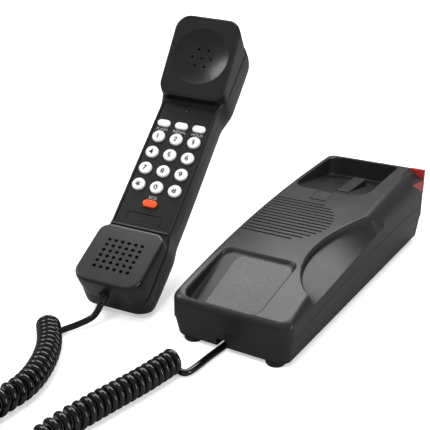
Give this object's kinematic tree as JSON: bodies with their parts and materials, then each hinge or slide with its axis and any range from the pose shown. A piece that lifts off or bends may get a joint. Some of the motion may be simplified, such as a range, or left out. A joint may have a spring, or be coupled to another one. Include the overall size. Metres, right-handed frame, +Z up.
{
  "type": "corded landline phone",
  "caption": "Corded desk phone: keypad handset standing beside a wedge base with two cradle hollows, ringer slots, finger ledge, red message lamp and a coiled cord.",
  "frame": {"origin": "the underside of the base's front left foot, on the floor it stands on", "axes": "+Y from the base's low front edge to its high back edge, +X to the finger-ledge side, +Z up"},
  "size_m": [0.1603, 0.366, 0.1602],
  "materials": {
    "charcoal_plastic": "fine matte texture",
    "black_plastic": "semi-gloss",
    "key_white": "satin off-white",
    "key_orange": "satin orange",
    "red_lens": "clear red",
    "cord_vinyl": "glossy black",
    "rubber": "matt",
    "steel": "zinc plated",
    "circuit_board": "solder mask"
  },
  "bodies": {
    "base": {"base_top_shell": "charcoal_plastic", "base_bottom_shell": "charcoal_plastic", "base_screw_1": "steel", "base_screw_2": "steel", "base_screw_3": "steel", "base_screw_4": "steel", "foot_1": "rubber", "foot_2": "rubber", "foot_3": "rubber", "foot_4": "rubber", "ringer_speaker": "black_plastic", "base_circuit_board": "circuit_board", "ballast_plate": "steel", "line_jack": "black_plastic", "base_handset_jack": "black_plastic", "base_cord_plug": "black_plastic", "message_led": "red_lens", "message_lamp_lens": "red_lens", "lamp_cap": "charcoal_plastic", "hook_return_spring": "steel", "hook_microswitch": "black_plastic", "wall_hook_tab": "charcoal_plastic", "cord_coil": "cord_vinyl", "cord_base_lead": "cord_vinyl"},
    "hook": {"hook_switch_bar": "charcoal_plastic"},
    "volume": {"volume_knob": "black_plastic"},
    "cord_lower": {"cord_lead_lower": "cord_vinyl"},
    "cord_upper": {"cord_lead_upper": "cord_vinyl"},
    "handset": {"handset_front_shell": "charcoal_plastic", "handset_back_shell": "charcoal_plastic", "handset_screw_1": "steel", "handset_screw_2": "steel", "name_plate": "black_plastic", "keypad_mat": "rubber", "keypad_circuit_board": "circuit_board", "receiver_capsule": "black_plastic", "microphone_capsule": "black_plastic", "handset_cord_plug": "black_plastic"},
    "key_1": {"key_1": "key_white"},
    "key_2": {"key_2": "key_white"},
    "key_3": {"key_3": "key_white"},
    "key_4": {"key_4": "key_white"},
    "key_5": {"key_5": "key_white"},
    "key_6": {"key_6": "key_white"},
    "key_7": {"key_7": "key_white"},
    "key_8": {"key_8": "key_white"},
    "key_9": {"key_9": "key_white"},
    "key_star": {"key_star": "key_white"},
    "key_0": {"key_0": "key_white"},
    "key_hash": {"key_hash": "key_white"},
    "key_flash": {"key_flash": "key_white"},
    "key_redial": {"key_redial": "key_white"},
    "key_hold": {"key_hold": "key_white"},
    "key_sos": {"key_sos": "key_orange"}
  },
  "joints": [
    {"name": "handset_follow", "type": "slide", "parent": "base", "child": "cord_lower", "axis": [-0.0743, 0.9169, 0.392], "range_m": [0, 0.01289], "deforming": ["cord_lead_lower"]},
    {"name": "handset_swing", "type": "hinge", "parent": "cord_lower", "child": "cord_upper", "pos_m": [-0.02145, 0.0677, 0.06655], "axis": [-0.0743, 0.9169, 0.392], "range_deg": [0, 171.07], "deforming": ["cord_lead_upper"]},
    {"name": "handset_seat", "type": "slide", "parent": "cord_upper", "child": "handset", "axis": [0.1626, -0.4269, 0.8896], "range_m": [0, 0.0208]},
    {"name": "hook_press", "type": "slide", "parent": "base", "child": "hook", "axis": [0, 0, -1], "range_m": [0, 0.0042], "deforming": ["hook_return_spring"]},
    {"name": "volume_slide", "type": "slide", "parent": "base", "child": "volume", "axis": [1, 0, 0], "range_m": [-0.004, 0.004]},
    {"name": "key_1_press", "type": "slide", "parent": "handset", "child": "key_1", "axis": [-0.1905, 0.6212, -0.7602], "range_m": [0, 0.0012], "stiffness_N_per_m": 300, "springref_m": -0.002},
    {"name": "key_2_press", "type": "slide", "parent": "handset", "child": "key_2", "axis": [-0.1905, 0.6212, -0.7602], "range_m": [0, 0.0012], "stiffness_N_per_m": 300, "springref_m": -0.002},
    {"name": "key_3_press", "type": "slide", "parent": "handset", "child": "key_3", "axis": [-0.1905, 0.6212, -0.7602], "range_m": [0, 0.0012], "stiffness_N_per_m": 300, "springref_m": -0.002},
    {"name": "key_4_press", "type": "slide", "parent": "handset", "child": "key_4", "axis": [-0.1905, 0.6212, -0.7602], "range_m": [0, 0.0012], "stiffness_N_per_m": 300, "springref_m": -0.002},
    {"name": "key_5_press", "type": "slide", "parent": "handset", "child": "key_5", "axis": [-0.1905, 0.6212, -0.7602], "range_m": [0, 0.0012], "stiffness_N_per_m": 300, "springref_m": -0.002},
    {"name": "key_6_press", "type": "slide", "parent": "handset", "child": "key_6", "axis": [-0.1905, 0.6212, -0.7602], "range_m": [0, 0.0012], "stiffness_N_per_m": 300, "springref_m": -0.002},
    {"name": "key_7_press", "type": "slide", "parent": "handset", "child": "key_7", "axis": [-0.1905, 0.6212, -0.7602], "range_m": [0, 0.0012], "stiffness_N_per_m": 300, "springref_m": -0.002},
    {"name": "key_8_press", "type": "slide", "parent": "handset", "child": "key_8", "axis": [-0.1905, 0.6212, -0.7602], "range_m": [0, 0.0012], "stiffness_N_per_m": 300, "springref_m": -0.002},
    {"name": "key_9_press", "type": "slide", "parent": "handset", "child": "key_9", "axis": [-0.1905, 0.6212, -0.7602], "range_m": [0, 0.0012], "stiffness_N_per_m": 300, "springref_m": -0.002},
    {"name": "key_star_press", "type": "slide", "parent": "handset", "child": "key_star", "axis": [-0.1905, 0.6212, -0.7602], "range_m": [0, 0.0012], "stiffness_N_per_m": 300, "springref_m": -0.002},
    {"name": "key_0_press", "type": "slide", "parent": "handset", "child": "key_0", "axis": [-0.1905, 0.6212, -0.7602], "range_m": [0, 0.0012], "stiffness_N_per_m": 300, "springref_m": -0.002},
    {"name": "key_hash_press", "type": "slide", "parent": "handset", "child": "key_hash", "axis": [-0.1905, 0.6212, -0.7602], "range_m": [0, 0.0012], "stiffness_N_per_m": 300, "springref_m": -0.002},
    {"name": "key_flash_press", "type": "slide", "parent": "handset", "child": "key_flash", "axis": [-0.1905, 0.6212, -0.7602], "range_m": [0, 0.0012], "stiffness_N_per_m": 300, "springref_m": -0.002},
    {"name": "key_redial_press", "type": "slide", "parent": "handset", "child": "key_redial", "axis": [-0.1905, 0.6212, -0.7602], "range_m": [0, 0.0012], "stiffness_N_per_m": 300, "springref_m": -0.002},
    {"name": "key_hold_press", "type": "slide", "parent": "handset", "child": "key_hold", "axis": [-0.1905, 0.6212, -0.7602], "range_m": [0, 0.0012], "stiffness_N_per_m": 300, "springref_m": -0.002},
    {"name": "key_sos_press", "type": "slide", "parent": "handset", "child": "key_sos", "axis": [-0.1905, 0.6212, -0.7602], "range_m": [0, 0.0012], "stiffness_N_per_m": 300, "springref_m": -0.002}
  ],
  "couplings": [
    {"joint": "handset_follow", "follows": "handset_swing", "m_per_rad": 0.0043172},
    {"joint": "hook_press", "follows": "handset_seat", "ratio": 0.20192}
  ]
}
